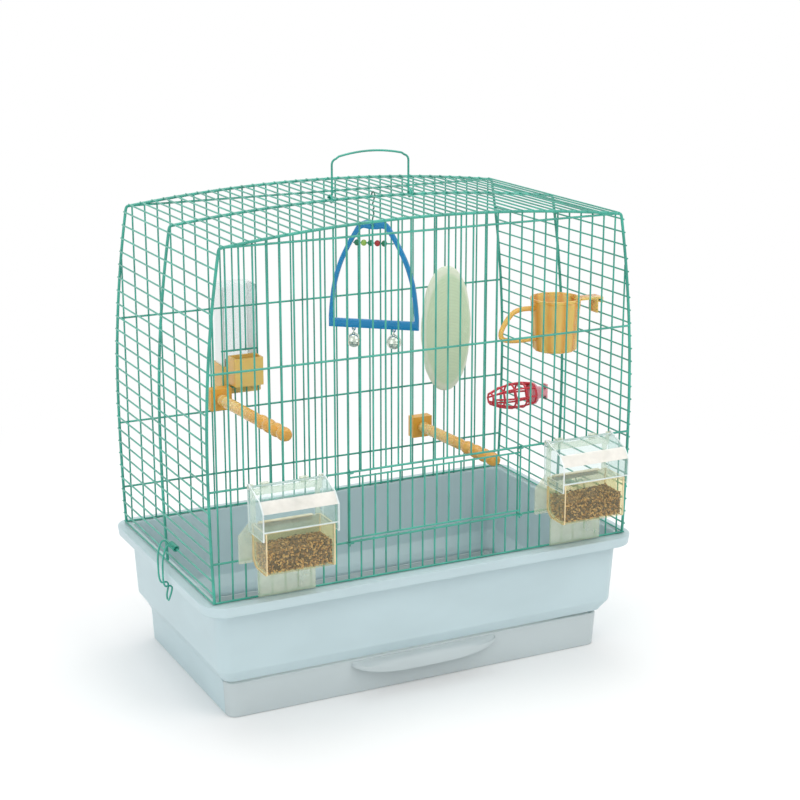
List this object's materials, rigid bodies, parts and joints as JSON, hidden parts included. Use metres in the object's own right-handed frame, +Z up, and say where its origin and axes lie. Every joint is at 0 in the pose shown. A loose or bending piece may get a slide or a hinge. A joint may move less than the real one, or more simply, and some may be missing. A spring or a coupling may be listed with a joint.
{
  "type": "bird cage",
  "caption": "Wire bird cage with a domed roof on a plastic tub: pull-out drawer, sliding door, hooded seed feeders, perches, swing, drinker and treat cup.",
  "frame": {"origin": "on the floor, at the bottom centre of the bounding box, under the middle of the cage", "axes": "+Z up, -Y is the front with the feeders and the drawer's pull, +X to the right seen from the front"},
  "size_m": [0.4948, 0.3476, 0.5331],
  "materials": {
    "teal_wire": "satin enamel",
    "tub_plastic": "satin moulded",
    "drawer_plastic": "satin moulded",
    "clear_plastic": "clear",
    "cup_plastic": "clear, slightly yellow",
    "seed_mix": "loose grain",
    "amber_plastic": "satin moulded",
    "orange_plastic": "satin moulded",
    "blue_plastic": "gloss moulded",
    "bead_green": "gloss",
    "bead_lime": "gloss",
    "bead_red": "gloss",
    "bell_metal": "plated",
    "cuttlebone_chalk": "chalky",
    "white_plastic": "satin moulded",
    "red_plastic": "satin moulded",
    "pink_plastic": "satin moulded"
  },
  "bodies": {
    "cage": {"base_tub": "tub_plastic", "left_side_grille": "teal_wire", "right_side_grille": "teal_wire", "roof_grille": "teal_wire", "rear_grille": "teal_wire", "front_grille_upper": "teal_wire", "front_grille_lower": "teal_wire", "feeder_plate_left": "clear_plastic", "feeder_plate_right": "clear_plastic", "feeder_cup_left": "cup_plastic", "feeder_cup_right": "cup_plastic", "seed_left": "seed_mix", "seed_right": "seed_mix", "drinker_bottle": "clear_plastic", "drinker_base": "amber_plastic", "perch_left": "amber_plastic", "perch_right": "amber_plastic", "perch_socket_left": "orange_plastic", "perch_socket_right": "orange_plastic", "cuttlebone": "cuttlebone_chalk", "cuttlebone_clip": "white_plastic", "treat_cup": "amber_plastic", "treat_holder": "red_plastic", "treat_holder_plug": "pink_plastic", "front_post_1": "teal_wire", "front_post_2": "teal_wire", "front_post_3": "teal_wire", "front_post_4": "teal_wire", "front_post_5": "teal_wire", "front_post_6": "teal_wire", "front_post_7": "teal_wire"},
    "drawer": {"drawer": "drawer_plastic"},
    "door": {"front_door": "teal_wire"},
    "handle": {"carry_handle": "teal_wire"},
    "clip_left": {"latch_left": "teal_wire"},
    "clip_right": {"latch_right": "teal_wire"},
    "hood_left": {"feeder_hood_left": "clear_plastic"},
    "hood_right": {"feeder_hood_right": "clear_plastic"},
    "swing": {"swing_hook": "teal_wire", "swing_frame": "blue_plastic", "swing_bead_rod": "teal_wire", "bead_1": "bead_green", "bead_2": "bead_lime", "bead_3": "bead_green", "bead_4": "bead_red", "bead_5": "bead_green"},
    "bell_left": {"bell_left": "bell_metal"},
    "bell_right": {"bell_right": "bell_metal"}
  },
  "joints": [
    {"name": "drawer_slide", "type": "slide", "parent": "cage", "child": "drawer", "axis": [0, -1, 0], "range_m": [0, 0.17]},
    {"name": "door_slide", "type": "slide", "parent": "cage", "child": "door", "axis": [0, 0, 1], "range_m": [0, 0.062]},
    {"name": "handle_fold", "type": "hinge", "parent": "cage", "child": "handle", "pos_m": [0, 0, 0.48585], "axis": [1, 0, 0], "range_deg": [-82, 82]},
    {"name": "clip_left_turn", "type": "hinge", "parent": "cage", "child": "clip_left", "pos_m": [-0.23207, -0.026, 0.15382], "axis": [0, 1, 0], "range_deg": [0, 80]},
    {"name": "clip_right_turn", "type": "hinge", "parent": "cage", "child": "clip_right", "pos_m": [0.23207, -0.026, 0.15382], "axis": [0, -1, 0], "range_deg": [0, 80]},
    {"name": "hood_left_lift", "type": "hinge", "parent": "cage", "child": "hood_left", "pos_m": [-0.15594, -0.1381, 0.2432], "axis": [-1, 0, 0], "range_deg": [0, 75]},
    {"name": "hood_right_lift", "type": "hinge", "parent": "cage", "child": "hood_right", "pos_m": [0.1695, -0.1381, 0.2432], "axis": [-1, 0, 0], "range_deg": [0, 75]},
    {"name": "swing_turn", "type": "hinge", "parent": "cage", "child": "swing", "pos_m": [0.003, 0, 0.4864], "axis": [1, 0, 0], "range_deg": [-25, 25]},
    {"name": "bell_left_turn", "type": "hinge", "parent": "swing", "child": "bell_left", "pos_m": [-0.01347, 0.01382, 0.34464], "axis": [0.766, -0.6428, 0], "range_deg": [-20, 20]},
    {"name": "bell_right_turn", "type": "hinge", "parent": "swing", "child": "bell_right", "pos_m": [0.01947, -0.01382, 0.34464], "axis": [0.766, -0.6428, 0], "range_deg": [-20, 20]}
  ]
}
